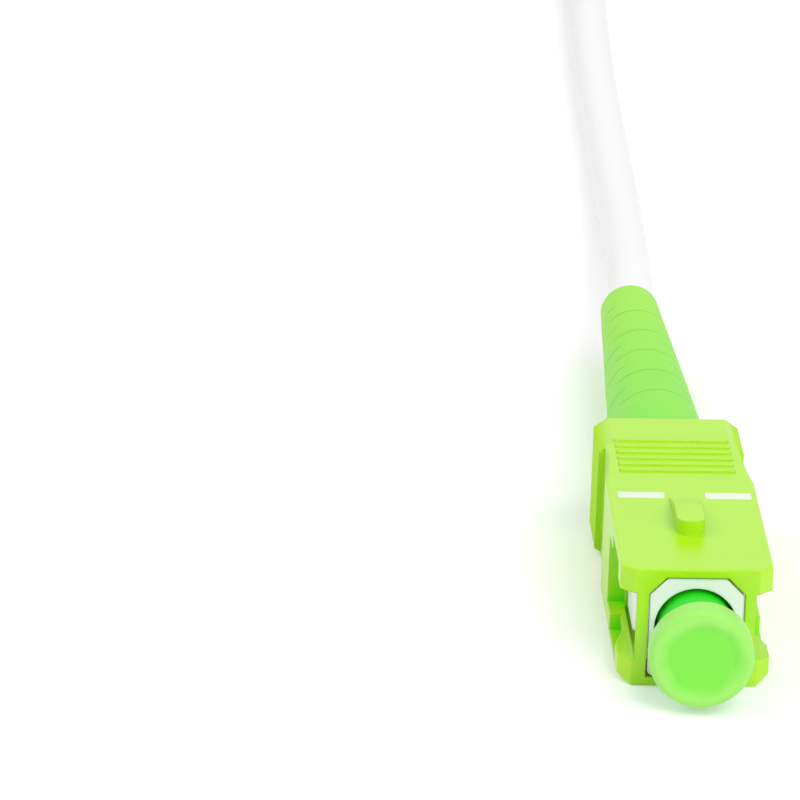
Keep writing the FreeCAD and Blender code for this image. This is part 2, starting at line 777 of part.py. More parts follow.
def make_fibre():
    slope = math.tan(math.radians(s.polish_angle.value))
    tip = -s.ferrule_proud + s.ferrule_diameter / 2 * slope + s.fibre_recess
    return turned_rod("optical_fibre", s.fibre_diameter, tip, buffer_rear)


def make_buffer():
    """The buffer is stripped off the fibre where the ferrule begins."""
    return revolved("tight_buffer", [
        (s.fibre_bore / 2, ferrule_rear),
        (s.buffer_diameter / 2, ferrule_rear),
        (s.buffer_diameter / 2, buffer_rear),
        (s.fibre_bore / 2, buffer_rear),
    ])


def make_guide_tube():
    """Thin tube pressed into the flange, which leads the buffered fibre in."""
    return revolved("guide_tube", [
        (s.guide_bore / 2, ferrule_rear),
        (s.tail_bore / 2, ferrule_rear),
        (s.tail_bore / 2, guide_rear),
        (s.guide_bore / 2, guide_rear),
    ])


# --------------------------------------------------------------------------
# Spring between the flange and the rear body
# --------------------------------------------------------------------------
def make_spring():
    """Round wire on a helix, with both ends ground flat against their seats."""
    length = stopper_front.value - flange_rear.value
    wire = s.spring_wire.value
    mean = s.spring_mean.value / 2
    turns = s.spring_turns.value
    pitch = length / (turns - s.spring_ground.value)
    helix = Part.makeHelix(pitch, pitch * turns, mean)
    profile = Part.Wire([Part.makeCircle(wire / 2, Vector(mean, 0, 0), Vector(0, 1, 0))])
    solid = Part.Wire(helix.Edges).makePipeShell([profile], True, True)
    start = (length - pitch * turns) / 2
    solid.translate(Vector(0, 0, start))
    limits = Part.makeCylinder(mean + wire, length)
    spring = doc.addObject("Part::Feature", "coil_spring")
    spring.Label = "coil_spring"
    spring.Shape = solid.common(limits)
    spring.Placement = FreeCAD.Placement(Vector(0, 0, 0), FreeCAD.Rotation(Vector(1, 0, 0), -90))
    bind(spring, "Placement.Base.y", flange_rear - s.grip_length / 2)
    bind(spring, "Placement.Base.z", axis_height)
    return spring


# --------------------------------------------------------------------------
# Rear body, yarn and crimp ring
# --------------------------------------------------------------------------
def make_rear_body():
    barrel = s.barrel_diameter / 2
    bore = s.barrel_bore / 2
    pocket_end = stopper_front + s.stopper_pocket
    body = revolved("rear_body", [
        (s.stopper_pocket_bore / 2, stopper_front),
        (s.spring_bore / 2, stopper_front),
        (s.spring_bore / 2, body_rear),
        (s.stopper_collar / 2, body_rear),
        (s.stopper_collar / 2, collar_rear),
        (barrel, collar_rear),
        (barrel, barrel_rear),
        (bore, barrel_rear),
        (bore, pocket_end),
        (s.stopper_pocket_bore / 2, pocket_end),
    ])
    pitch = s.barrel_length / (s.barrel_groove_count + 1)
    groove = new_sketch(body, "barrel_groove_profile", "XY_Plane")
    draw_loop(groove, "g", [
        (barrel - s.barrel_groove, collar_rear + pitch),
        (barrel + REACH, collar_rear + pitch - s.barrel_groove - REACH),
        (barrel + REACH, collar_rear + pitch + s.barrel_groove + REACH),
    ])
    first = spin(body, "barrel_groove_cut", groove, "Groove")
    cut_checked(body, first)
    repeat(body, "barrel_grooves", first, "Y_Axis", pitch, s.barrel_groove_count)

    ears = new_sketch(body, "snap_ear_plan", "XY_Plane")
    root = (s.spring_bore + s.stopper_pocket_bore) / 4
    for side in (1, -1):
        draw_loop(ears, "r" if side > 0 else "l", [
            (side * root, ear_front),
            (side * s.spring_bore / 2, ear_front),
            (side * ear_reach, ear_front + s.ear_ramp),
            (side * ear_reach, ear_rear),
            (side * root, ear_rear),
        ])
    add_feature(body, "Pad", "snap_ears", ears, s.ear_width, SideType="Symmetric")
    return body


def make_yarn():
    inner = s.barrel_diameter / 2
    outer = crimp_bore / 2
    return revolved("aramid_yarn", [
        (inner, crimp_front),
        (outer, crimp_front),
        (outer, barrel_rear),
        (inner, barrel_rear),
    ])


def make_crimp_ring():
    neck_bore = jacket_bore / 2
    neck = crimp_neck / 2
    return revolved("crimp_ring", [
        (crimp_bore / 2, crimp_front),
        (crimp_outer / 2, crimp_front),
        (crimp_outer / 2, crimp_wide_end),
        (neck, crimp_neck_front),
        (neck, crimp_rear),
        (neck_bore, crimp_rear),
        (neck_bore, crimp_neck_front),
        (crimp_bore / 2, crimp_wide_end),
    ])


# --------------------------------------------------------------------------
# Boot with two staggered rows of flex slits
# --------------------------------------------------------------------------
def make_boot():
    wide_bore = crimp_outer / 2 + s.fit_gap
    neck_bore = crimp_neck / 2 + s.fit_gap
    tip = s.boot_tip_diameter / 2
    body = revolved("boot", [
        (wide_bore, boot_front),
        (s.boot_diameter / 2 - s.boot_bevel, boot_front),
        (s.boot_diameter / 2, boot_front + s.boot_bevel),
        (s.boot_diameter / 2, boot_straight_end),
        (tip, boot_tip - s.boot_tip_round),
        (tip - s.boot_tip_round, boot_tip),
        (boot_bore / 2, boot_tip),
        (boot_bore / 2, crimp_rear + s.boot_step_gap),
        (neck_bore, crimp_rear + s.boot_step_gap),
        (neck_bore, crimp_neck_front + s.fit_gap),
        (wide_bore, crimp_wide_end + s.fit_gap),
    ])
    for name, role, start, count in (
        ("upper", "YZ_Plane", slit_first, s.slit_count),
        ("side", "XY_Plane", slit_first + s.slit_pitch / 2, s.slit_count),
    ):
        for side in (1, -1):
            tag = f"{name}_{'a' if side > 0 else 'b'}"
            slit = new_sketch(body, f"{tag}_slit_profile", role)
            inner = boot_bore / 2 + s.slit_floor
            outer = s.boot_diameter / 2 + REACH
            if role == "XY_Plane":
                corners = [(side * inner, start), (side * outer, start),
                           (side * outer, start + s.slit_width),
                           (side * inner, start + s.slit_width)]
                axis = "V_Axis"
            else:
                corners = [(start, side * inner), (start, side * outer),
                           (start + s.slit_width, side * outer),
                           (start + s.slit_width, side * inner)]
                axis = "H_Axis"
            draw_loop(slit, "c", corners)
            cut = add_feature(body, "Groove", f"{tag}_slit", slit, Midplane=True)
            cut.ReferenceAxis = (slit, [axis])
            bind(cut, "Angle", s.slit_angle)
            cut_checked(body, cut)
            repeat(body, f"{tag}_slits", cut, "Y_Axis", s.slit_pitch, count)
    return body


# --------------------------------------------------------------------------
# Dust cap
# --------------------------------------------------------------------------
def make_dust_cap():
    head = s.cap_head_diameter / 2
    neck = s.cap_neck_diameter / 2
    bore = s.ferrule_diameter / 2 + s.cap_play
    front = -s.cap_head_front
    back = front + s.cap_head_length
    floor = -s.ferrule_proud - s.cap_floor_gap
    dish = s.cap_dish_diameter / 2
    return revolved("dust_cap", [
        (0, front + s.cap_dish_depth),
        (dish - s.cap_dish_slope, front + s.cap_dish_depth),
        (dish, front),
        (head - s.cap_head_round, front),
        (head, front + s.cap_head_round),
        (head, back - s.cap_back_round),
        (head - s.cap_back_round, back),
        (neck, back),
        (neck, s.cap_neck_depth),
        (bore, s.cap_neck_depth),
        (bore, floor),
        (0, floor),
    ], {3: (s.cap_head_round, -1), 5: (s.cap_back_round, -1)})


# --------------------------------------------------------------------------
# Cable: the run that lies behind the boot, and the rest folded into a hank
# --------------------------------------------------------------------------
ROUTE = [
    # X, Y from the grip's front, height; the first point is inside the boot
    (0.0, None, None),
    (0.0, 57.0, None),
    (1.3, 85.0, 2.3),
    (1.5, 110.5, 1.5),
    (2.3, 134.4, 1.5),
]


def rounded_path(points):
    """Straight runs joined by tangent arcs as large as the runs allow."""
    edges = []
    start = points[0]
    for i in range(1, len(points) - 1):
        before = points[i] - points[i - 1]
        after = points[i + 1] - points[i]
        turn = before.getAngle(after)
        shorter = min(before.Length, after.Length)
        radius = ARC_SHARE * shorter / math.tan(turn / 2)
        print(f"cable corner {i}: turn {math.degrees(turn):.2f} deg, radius {radius:.1f} mm")
        reach = ARC_SHARE * shorter
        first = points[i] - before.normalize() * reach
        last = points[i] + after.normalize() * reach
        inward = (first + last) / 2 - points[i]
        to_centre = radius / math.cos(turn / 2)
        middle = points[i] + inward.normalize() * (to_centre - radius)
        edges.append(Part.LineSegment(start, first).toShape())
        edges.append(Part.Arc(first, middle, last).toShape())
        start = last
    edges.append(Part.LineSegment(start, points[-1]).toShape())
    return Part.Wire(edges)


def route_points():
    offset = s.grip_length.value / 2
    points = []
    for across, station, height in ROUTE:
        if station is None:
            station = jacket_front.value
        if height is None:
            height = axis_height.value
        points.append(Vector(across, station - offset, height))
    return points


def make_cable_run():
    points = route_points()
    path = rounded_path(points)
    radius = s.cable_diameter.value / 2
    ring = Part.Wire([Part.makeCircle(radius, points[0], points[1] - points[0])])
    tube = path.makePipeShell([ring], True, True)
    wanted = math.pi * radius * radius * path.Length
    print(f"cable run: length {path.Length:.1f} mm, volume {tube.Volume:.2f}, wanted {wanted:.2f}")
    if abs(tube.Volume - wanted) > VOLUME_ERROR * wanted:
        raise RuntimeError("the cable's volume is off")
    cable = doc.addObject("Part::Feature", "cable_run")
    cable.Label = "cable_run"
    cable.Shape = tube
    return cable


def hank_start():
    """Where the cable's first turn enters the hank, and the lead's direction."""
    before, end = route_points()[-2:]
    heading = (end - before).normalize()
    return end + heading * s.hank_lead.value, heading


def stadium(middle, first, last, radius, level):
    """A closed wire: two half circles round first and last, joined by lines."""
    right = Vector(middle + radius, first, level), Vector(middle + radius, last, level)
    left = Vector(middle - radius, last, level), Vector(middle - radius, first, level)
    far = Part.Arc(right[1], Vector(middle, last + radius, level), left[0])
    near = Part.Arc(left[1], Vector(middle, first - radius, level), right[0])
    return Part.Wire([
        Part.LineSegment(*right).toShape(),
        far.toShape(),
        Part.LineSegment(*left).toShape(),
        near.toShape(),
    ])


def make_cable_hank():
    """The outer shape of the folded turns, with the lead that joins the run."""
    start, heading = hank_start()
    cable = s.cable_diameter.value / 2
    middle = start.x - hank_outer_fold.value
    low = s.tie_thickness.value
    high = low + hank_height.value
    far = start.y + s.hank_run.value
    outline = stadium(middle, start.y - s.hank_climb_out.value, far,
                      hank_outer_fold.value + cable, low)
    hollow = stadium(middle, start.y + s.hank_climb_in.value, far,
                     s.hank_fold.value - cable, low)
    upward = Vector(0, 0, hank_height.value)
    ring = Part.Face(outline).extrude(upward).cut(Part.Face(hollow).extrude(upward))
    rims = []
    for edge in ring.Edges:
        box = edge.BoundBox
        if box.ZLength < REACH and min(abs(box.ZMin - low), abs(box.ZMin - high)) < MEET:
            rims.append(edge)
    ring = ring.makeChamfer(s.hank_bevel.value, rims)
    stub = Part.makeCylinder(cable, s.hank_lead.value,
                             start - heading * s.hank_lead.value, heading)
    hank = doc.addObject("Part::Feature", "cable_hank")
    hank.Label = "cable_hank"
    hank.Shape = ring.fuse(stub)
    print(f"hank: first turn {start.x:.3f} {start.y:.3f}, middle {middle:.3f}")
    return hank


def make_tie(name, side):
    """A closed band round one leg of the hank."""
    start, _ = hank_start()
    middle = start.x - hank_outer_fold
    leg = middle + side * (hank_outer_fold + s.hank_fold) / 2
    station = start.y + s.grip_length / 2 + (s.hank_run - s.tie_width) / 2
    body = new_body(name)
    band = new_sketch(body, "band_section", "XZ_Plane", station, -1)
    corner_growth = 2 - math.sqrt(2)
    for tag, grow in (("i", Size.of(0)), ("o", s.tie_thickness)):
        half = hank_leg / 2 + grow
        low = s.tie_thickness - grow
        high = s.tie_thickness + hank_height + grow
        bevel = s.hank_bevel + grow * corner_growth
        draw_loop(band, tag, [
            (leg - half + bevel, low),
            (leg + half - bevel, low),
            (leg + half, low + bevel),
            (leg + half, high - bevel),
            (leg + half - bevel, high),
            (leg - half + bevel, high),
            (leg - half, high - bevel),
            (leg - half, low + bevel),
        ])
    add_feature(body, "Pad", "band", band, s.tie_width, Reversed=True)
    return body


# --------------------------------------------------------------------------
# Build, check and export
# --------------------------------------------------------------------------
PIECES = [
    make_outer_housing(),
    make_inner_housing(),
    make_ferrule(),
    make_flange(),
    make_fibre(),
    make_buffer(),
    make_guide_tube(),
    make_spring(),
    make_rear_body(),
    make_yarn(),
    make_crimp_ring(),
    make_boot(),
    make_dust_cap(),
    make_cable_run(),
    make_cable_hank(),
    make_tie("hank_tie_right", 1),
    make_tie("hank_tie_left", -1),
]
doc.recompute()

for obj in doc.Objects:
    if "Invalid" in obj.State or "Error" in obj.State:
        raise RuntimeError(f"{obj.Name} failed: {obj.State}")

os.makedirs("parts", exist_ok=True)
for piece in PIECES:
    shape = piece.Shape
    if shape.isNull() or not shape.isValid() or len(shape.Solids) != 1:
        raise RuntimeError(f"{piece.Label}: bad shape, {len(shape.Solids)} solids")
    shape.exportStep(f"parts/{piece.Label}.step")
    box = shape.BoundBox
    print(f"{piece.Label}: {shape.Volume:.2f} mm3, faces {len(shape.Faces)}, "
          f"x {box.XMin:.2f} {box.XMax:.2f}, y {box.YMin:.2f} {box.YMax:.2f}, "
          f"z {box.ZMin:.2f} {box.ZMax:.2f}")
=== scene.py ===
# %% [markdown]
# # An SC/APC fibre connector on its cable
#
# The connector is a small push-pull plug, 9 mm wide. A yellow-green grip slides over a white plug
# body. A pale green dust cap covers the ceramic ferrule, and a soft green boot guards the
# white cable where it leaves. All of these shapes come from the construction model. This lesson
# adds what the construction leaves out: the finish of each surface, the printed lines on the grip,
# the cable as one smooth curve, the light, the floor and the camera.

# %% Load the construction
import math

import bpy
from mathutils import Matrix, Vector


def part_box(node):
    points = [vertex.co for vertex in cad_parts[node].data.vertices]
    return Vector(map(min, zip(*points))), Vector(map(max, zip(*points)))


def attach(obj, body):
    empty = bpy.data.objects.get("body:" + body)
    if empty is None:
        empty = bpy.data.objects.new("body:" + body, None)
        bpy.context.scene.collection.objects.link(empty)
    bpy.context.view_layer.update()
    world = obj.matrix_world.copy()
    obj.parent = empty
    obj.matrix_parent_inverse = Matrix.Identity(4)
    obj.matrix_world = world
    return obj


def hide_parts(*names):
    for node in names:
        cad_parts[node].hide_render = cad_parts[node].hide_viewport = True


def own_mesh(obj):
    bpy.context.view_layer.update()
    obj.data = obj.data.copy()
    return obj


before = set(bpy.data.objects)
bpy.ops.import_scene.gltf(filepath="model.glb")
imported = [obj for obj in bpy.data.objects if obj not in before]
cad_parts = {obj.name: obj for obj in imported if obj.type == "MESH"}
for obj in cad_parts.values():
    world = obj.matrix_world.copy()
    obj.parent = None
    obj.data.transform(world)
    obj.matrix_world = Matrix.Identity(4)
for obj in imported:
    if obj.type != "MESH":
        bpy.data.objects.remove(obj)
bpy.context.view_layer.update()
print("nodes:", sorted(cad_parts))

# %% [markdown]
# ## Places
#
# Everything is in metres. The origin is the middle of the grip's underside, the connector's front
# faces -Y and the cable leaves towards +Y. Places are read from the boxes of the construction's
# pieces, so that they follow if the construction changes.

# %% Places read from the construction
MM = 0.001
boot_low, boot_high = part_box("boot")
grip_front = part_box("outer_housing")[0].y
grip_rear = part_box("outer_housing")[1].y
cap_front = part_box("dust_cap")[0].y
axis_height = (boot_low.z + boot_high.z) / 2
print(f"grip front {grip_front / MM:.2f} mm, axis {axis_height / MM:.2f} mm above the floor")

# %% [markdown]
# ## Camera
#
# A long lens from half a metre away keeps the connector's sides nearly parallel and its shape
# true. The camera stands a little to the left, looks down by some twenty degrees and is tipped by
# two.
# It aims at a spot on the floor beside the cable, so that the connector stands to the right of
# the middle of the view.

# %% Camera
CAMERA_PLACE = Vector((-0.042008, -0.436775, 0.177425))
CAMERA_AIM = Vector((-0.015195, 0.034661, 0.0))
CAMERA_TIP = math.radians(2.015)
LENS_LENGTH = 352
SENSOR_WIDTH = 36
NEAREST_SEEN = 0.01
FARTHEST_SEEN = 20

lens = bpy.data.cameras.new("camera")
lens.lens = LENS_LENGTH
lens.sensor_width = SENSOR_WIDTH
lens.clip_start = NEAREST_SEEN
lens.clip_end = FARTHEST_SEEN
camera = bpy.data.objects.new("camera", lens)
bpy.context.scene.collection.objects.link(camera)
camera.location = CAMERA_PLACE
facing = (CAMERA_AIM - CAMERA_PLACE).to_track_quat("-Z", "Y").to_matrix().to_4x4()
camera.rotation_euler = (facing @ Matrix.Rotation(CAMERA_TIP, 4, "Z")).to_euler()
bpy.context.scene.camera = camera
print(f"camera {(CAMERA_AIM - CAMERA_PLACE).length / MM:.0f} mm from its aim")

# %% [markdown]
# ## Cable route
#
# The cable is a 3 mm simplex fibre cable, one metre long, cut off bare at its far end. It leaves
# the boot level with the ferrule, sinks onto the floor within five centimetres and runs away in a
# shallow bend.
#
# A row of arcs would show where one bend ends and the next begins, and a Bezier curve wants handles
# at every point. A NURBS curve of order 3 makes a smooth line from a few points alone. They are the
# corners of the route, and the curve rounds them off. It starts to round a corner halfway from the
# point before. So the first two points keep the cable straight inside the boot, and the two just
# inside and just behind the boot's tip let it lean as soon as it is out.

# %% Route points, from the boot to where the hank's lead begins
ROUTE = [
    (0.0, 0.016695, 0.0037),
    (0.0, 0.030000, 0.0037),
    (0.0, 0.041000, 0.0037),
    (0.00064, 0.049500, 0.0034),
    (0.0013, 0.072475, 0.0016),
    (0.0015, 0.097975, 0.0015),
    (0.0023, 0.121875, 0.0015),
]

route = [Vector(point) for point in ROUTE]
print("route of", len(route), "points")

# %% [markdown]
# ## Hank
#
# The rest is put away as a slim hank in line with the connector, 18 diameters long: four layers
# on each other, each of two turns side by side. A simulation could drop such a hank, but its turns
# would lie as they fell. Laid by rule, they stay side by side and never run into each other.
#
# Every turn goes away along the right leg, round the far fold, back along the left leg and round
# the near fold. The first layer lies on the ties, which go round the legs. The first, third and
# so on of the layers are laid from the outside inwards, and those between from the inside
# outwards.

# %% The hank's legs
LAYERS = 4
PITCH = 3.1 * MM
INNER_FOLD = 9.2 * MM
HANK_LEAD = 15.0 * MM
TIE_THICKNESS = 0.4 * MM


def legs(start):
    """Across and height of each leg of the hank, right and left by turns."""
    middle = start.x - INNER_FOLD - PITCH
    places = []
    for layer in range(LAYERS):
        height = start.z + TIE_THICKNESS + layer * PITCH
        outside_in = (INNER_FOLD + PITCH, INNER_FOLD)
        for reach in outside_in if layer % 2 == 0 else reversed(outside_in):
            places += [(middle + reach, height), (middle - reach, height)]
    return places


heading = (route[-1] - route[-2]).normalized()
hank_start = route[-1] + heading * HANK_LEAD
print(f"{len(legs(hank_start))} legs from y = {hank_start.y / MM:.1f} mm on")

# %% [markdown]
# The cable changes its place only in a near fold. There it moves to its neighbour's place, or it
# climbs to the next layer. A fold that climbs lies a little further in or out than the fold below,
# so that the two don't meet.

# %% One fold
FOLD_POINTS = 8


def eased(amount):
    """From 0 to 1 without a kink at either end."""
    return amount * amount * (3 - 2 * amount)


def fold_points(start, end, centre_y, way):
    """Corners round a half circle from one leg to the next, rising evenly if they differ."""
    middle = (start[0] + end[0]) / 2
    radius = abs(end[0] - start[0]) / 2
    side = 1 if start[0] > middle else -1
    corner = radius / math.cos(math.pi / FOLD_POINTS / 2)
    points = []
    for i in range(FOLD_POINTS):
        share = (i + 0.5) / FOLD_POINTS
        angle = share * math.pi
        points.append(Vector((
            middle + side * corner * math.cos(angle),
            centre_y + way * corner * math.sin(angle),
            start[1] + (end[1] - start[1]) * eased(share),
        )))
    return points


print(FOLD_POINTS, "points in a fold")

# %% The whole hank
HANK_RUN = 24.0 * MM
CLIMB_OUT = 2.0 * MM
CLIMB_IN = 3.0 * MM


def hank_points(start):
    """Corners of the whole hank: its legs, and the folds between them."""
    far = start.y + HANK_RUN
    places = legs(start)
    near = start.y
    points = []
    for i, (here, following) in enumerate(zip(places, places[1:] + [None])):
        going_away = i % 2 == 0
        if going_away:
            points += [Vector((here[0], near, here[1])), Vector((here[0], far, here[1]))]
            points += fold_points(here, following, far, 1)
            continue
        near = start.y
        if following and following[1] > here[1]:
            inner = following[0] - here[0] < 2 * INNER_FOLD + PITCH / 2
            near += CLIMB_IN if inner else -CLIMB_OUT
        points += [Vector((here[0], far, here[1])), Vector((here[0], near, here[1]))]
        if following:
            points += fold_points(here, following, near, -1)
    return points


folded = hank_points(hank_start)
print("hank of", len(folded), "points")

# %% [markdown]
# ## One line for the whole cable
#
# Route and hank are control points of one open NURBS spline. Its order is set after the points,
# because a spline of two points can't hold order 3. The spline is turned into a mesh twice: bare,
# for the line that the cable follows, and with a round section, for the cable itself.

# %% The cable
CABLE_DIAMETER = 3.0 * MM
CURVE_STEPS = 6
ROUND_STEPS = 6


def nurbs_curve(name, points):
    """An open NURBS curve of order 3 with these control points."""
    curve = bpy.data.curves.new(name, "CURVE")
    curve.dimensions = "3D"
    curve.resolution_u = CURVE_STEPS
    spline = curve.splines.new("NURBS")
    spline.points.add(len(points) - 1)
    for control, point in zip(spline.points, points):
        control.co = (*point, 1)
    spline.order_u = 3
    spline.use_endpoint_u = True
    return curve


def tube_along(name, points, diameter):
    """A round mesh tube along the NURBS line, and the points that it follows."""
    curve = nurbs_curve(name, points)
    line = bpy.data.objects.new(name + "_line", curve)
    bare = bpy.data.meshes.new_from_object(line)
    followed = [vertex.co.copy() for vertex in bare.vertices]
    curve.bevel_depth = diameter / 2
    curve.bevel_resolution = ROUND_STEPS
    curve.use_fill_caps = True
    mesh = bpy.data.meshes.new_from_object(line)
    mesh.name = name
    tube = bpy.data.objects.new(name, mesh)
    bpy.context.scene.collection.objects.link(tube)
    bpy.data.objects.remove(line)
    bpy.data.meshes.remove(bare)
    return tube, followed


cable, followed = tube_along("cable", route + folded, CABLE_DIAMETER)
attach(cable, "plug")
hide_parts("cable_run", "cable_hank")
laid = sum((b - a).length for a, b in zip(followed, followed[1:]))
print(f"cable {laid:.4f} m along {len(followed)} points")

# %% [markdown]
# ## Shader maths as expressions
#
# A procedural finish is mostly sums and products of noise. The small class `Wire` stands for the
# output of a node: + - * and ** on it add Math nodes, so a formula reads as it would on paper,
# with a number on either side. A `Finish` is a material being made, and its `node` method adds
# every other kind of node.

# %% Wire: a node's output that can be reckoned with
class Wire:
    """The output of a node. Arithmetic on it adds Math nodes."""

    def __init__(self, finish, socket):
        self.finish = finish
        self.socket = socket

    def maths(self, operation, first, second):
        """A Math node: the arithmetic below is written with it."""
        return self.finish.node("ShaderNodeMath", {"operation": operation}, {0: first, 1: second})

    def __add__(self, other):
        return self.maths("ADD", self, other)

    def __radd__(self, other):
        return self.maths("ADD", other, self)

    def __sub__(self, other):
        return self.maths("SUBTRACT", self, other)

    def __rsub__(self, other):
        return self.maths("SUBTRACT", other, self)

    def __mul__(self, other):
        return self.maths("MULTIPLY", self, other)

    def __rmul__(self, other):
        return self.maths("MULTIPLY", other, self)

    def __pow__(self, other):
        return self.maths("POWER", self, other)

    def __rpow__(self, other):
        return self.maths("POWER", other, self)

    def __abs__(self):
        return self.maths("ABSOLUTE", self, 0)

    def output(self, name):
        """Another output of the same node."""
        return Wire(self.finish, self.socket.node.outputs[name])

    def between(self, low, high):
        """0 up to low, 1 from high on, and an even slope between them."""
        return self.finish.node("ShaderNodeMapRange", {"clamp": True},
                                {"Value": self, "From Min": low, "From Max": high})

    def around(self, middle, span):
        """Noise of 0 to 1 brought down to this span around the middle."""
        return middle + span * (self - 0.5)


print("a Wire takes + - * ** and abs")

# %% Finish: a material being made
BEVEL_SAMPLES = 8


class Finish:
    """A material being made: one shader, and the nodes that feed it."""

    def __init__(self, name, constants=None, owner=None):
        self.owner = owner or bpy.data.materials.new(name)
        self.owner.use_nodes = True
        self.tree = self.owner.node_tree
        self.tree.nodes.clear()
        world = isinstance(self.owner, bpy.types.World)
        kind = "Background" if world else "BsdfPrincipled"
        self.surface = self.tree.nodes.new(f"ShaderNode{kind}")
        out = self.tree.nodes.new(f"ShaderNodeOutput{'World' if world else 'Material'}")
        self.tree.links.new(self.surface.outputs[0], out.inputs["Surface"])
        self.feed(constants or {})

    def feed(self, values, node=None):
        """Put numbers, colours or wires into the sockets of a node, or of the shader."""
        node = node or self.surface
        for key, value in values.items():
            if isinstance(value, Wire):
                self.tree.links.new(value.socket, node.inputs[key])
            else:
                node.inputs[key].default_value = value

    def node(self, kind, settings=None, values=None, output=0):
        """Any node: its settings first, then its sockets."""
        made = self.tree.nodes.new(kind)
        for key, value in (settings or {}).items():
            setattr(made, key, value)
        self.feed(values or {}, made)
        return Wire(self, made.outputs[output])

    def place(self, stretch=(1, 1, 1)):
        """Where a point of the surface is, in metres, drawn out along an axis if wished."""
        place = self.node("ShaderNodeTexCoord", output="Object")
        if stretch == (1, 1, 1):
            return place
        return self.node("ShaderNodeVectorMath", {"operation": "DIVIDE"}, {0: place, 1: stretch})

    def axes(self, place):
        """The three coordinates of a place or of a direction."""
        across = self.node("ShaderNodeSeparateXYZ", None, {0: place})
        return across, across.output("Y"), across.output("Z")

    def noise(self, place, size, detail=2.0, rough=0.5):
        """Cloudy noise whose blots are about size across."""
        return self.node("ShaderNodeTexNoise", None, {
            "Vector": place, "Scale": 1 / size, "Detail": detail, "Roughness": rough})

    def blend(self, share, first, second):
        """From the first colour to the second as share goes from 0 to 1."""
        colours = [c if isinstance(c, Wire) else (*c, 1) for c in (first, second)]
        return self.node("ShaderNodeMix", {"data_type": "RGBA"},
                         {0: share, 6: colours[0], 7: colours[1]}, output=2)

    def bump(self, height, depth, edge=0.0):
        """A surface normal from a height of 0 to 1 over depth metres, on softly rounded edges."""
        values = {"Height": height, "Distance": depth}
        if edge:
            values["Normal"] = self.node("ShaderNodeBevel", {"samples": BEVEL_SAMPLES},
                                         {"Radius": edge})
        return self.node("ShaderNodeBump", None, values)


print("a soft edge takes", BEVEL_SAMPLES, "samples")

# %% Painting pieces of the construction
def paint(finish, *nodes):
    """Give pieces of the construction their finish."""
    for node in nodes:
        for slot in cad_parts[node].material_slots:
            slot.material = finish.owner
        print(f"{finish.owner.name} on {node}")


print(len(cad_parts), "pieces to paint or to replace")

# %% [markdown]
# ## Moulded plastic
#
# The housings and the small plain pieces are injection-moulded. The tool's spark-eroded face
# leaves a fine, even grain that breaks up reflections, and the pigment isn't quite even. So the
# colour drifts by a few percent over some millimetres, and a grain of a tenth of a millimetre
# feeds both the bump and the roughness. An image of that grain would have to be unfolded onto each
# piece. Noise is read at a point's own place in space, so it fits any shape and has no seams.
#
# No moulded edge is sharp. A Bevel node bends the normal close to each edge, so that the edge
# catches the light as if it were rounded, and the shape stays the construction's.

# %% Moulded plastic
MOULDED_EDGE = 0.15 * MM
PIGMENT_DRIFT = 4 * MM
DRIFT_LOW = 0.3
DRIFT_HIGH = 0.7
GRAIN = 0.10 * MM
GRAIN_DEPTH = 0.004 * MM
GRAIN_SPAN = 0.15


def moulded(name, colour, shade, roughness, grain=GRAIN, depth=GRAIN_DEPTH, ior=1.5, edge=0.0,
            vary=None):
    """Satin plastic from a spark-eroded tool. vary may change colour and roughness by place."""
    finish = Finish(name, {"IOR": ior})
    place = finish.place()
    drift = finish.noise(place, PIGMENT_DRIFT).between(DRIFT_LOW, DRIFT_HIGH)
    fine = finish.noise(place, grain, detail=3.0, rough=0.6)
    tone = finish.blend(drift, colour, shade)
    rough = fine.around(roughness, GRAIN_SPAN)
    if vary:
        tone, rough = vary(finish, place, tone, rough)
    finish.feed({"Base Color": tone, "Roughness": rough, "Normal": finish.bump(fine, depth, edge)})
    return finish


print(f"moulded grain {GRAIN / MM:.2f} mm wide and {GRAIN_DEPTH / MM:.3f} mm deep")

# %% [markdown]
# ## Grip and plug body
#
# The sides of the collar, where two fingers pull, have a coarser and duller face than the rest.
# The share of it grows over the collar's chamfers and is 1 on its upright sides.
#
# The green plastic lets a little light through, and light that reaches the inner corners of the
# side channels has passed through it or met it before, which turns them a deeper, less yellow
# green. That green is painted into their colour, as painted shade. An Ambient Occlusion node tells
# how closed in a point of the grip is, and so the painted shade follows the corners by itself,
# which a mask made from distances wouldn't.

# %% Grip and plug body
FADE = 0.15 * MM
COARSER = 0.55
COLLAR_LENGTH = 4.5 * MM
COLLAR_CHAMFER = 3.8 * MM
COLLAR_SIDE = 4.4 * MM
CHANNEL_SHADE_GREEN = (0.13, 0.95, 0.002)
CHANNEL_LENGTH = 9.4 * MM
CHANNEL_REACH = 3 * MM
POST_SIDE = 3.4 * MM
OPEN_CORNER = 0.85
CLOSED_CORNER = 0.2
OPENNESS_SAMPLES = 16
channel_rear = grip_front + CHANNEL_LENGTH
collar_front = grip_rear - COLLAR_LENGTH


def grip_sides(finish, place, tone, rough):
    """Painted shade deepens the green in the channels' corners; the collar's sides are duller."""
    across, along, _ = finish.axes(place)
    out = abs(across)
    at_rear = along.between(collar_front - FADE, collar_front)
    collar = out.between(COLLAR_CHAMFER, COLLAR_SIDE) * at_rear
    at_front = along.between(channel_rear + FADE, channel_rear)
    # Painted shade: the closed-in corners of the side channels turn a deeper green.
    openness = finish.node("ShaderNodeAmbientOcclusion",
                           {"samples": OPENNESS_SAMPLES, "only_local": True},
                           {"Distance": CHANNEL_REACH}, output=1)
    closed = openness.between(OPEN_CORNER, CLOSED_CORNER)
    channel_shade = out.between(POST_SIDE - FADE, POST_SIDE) * at_front * closed
    return finish.blend(channel_shade, tone, CHANNEL_SHADE_GREEN), rough + COARSER * collar


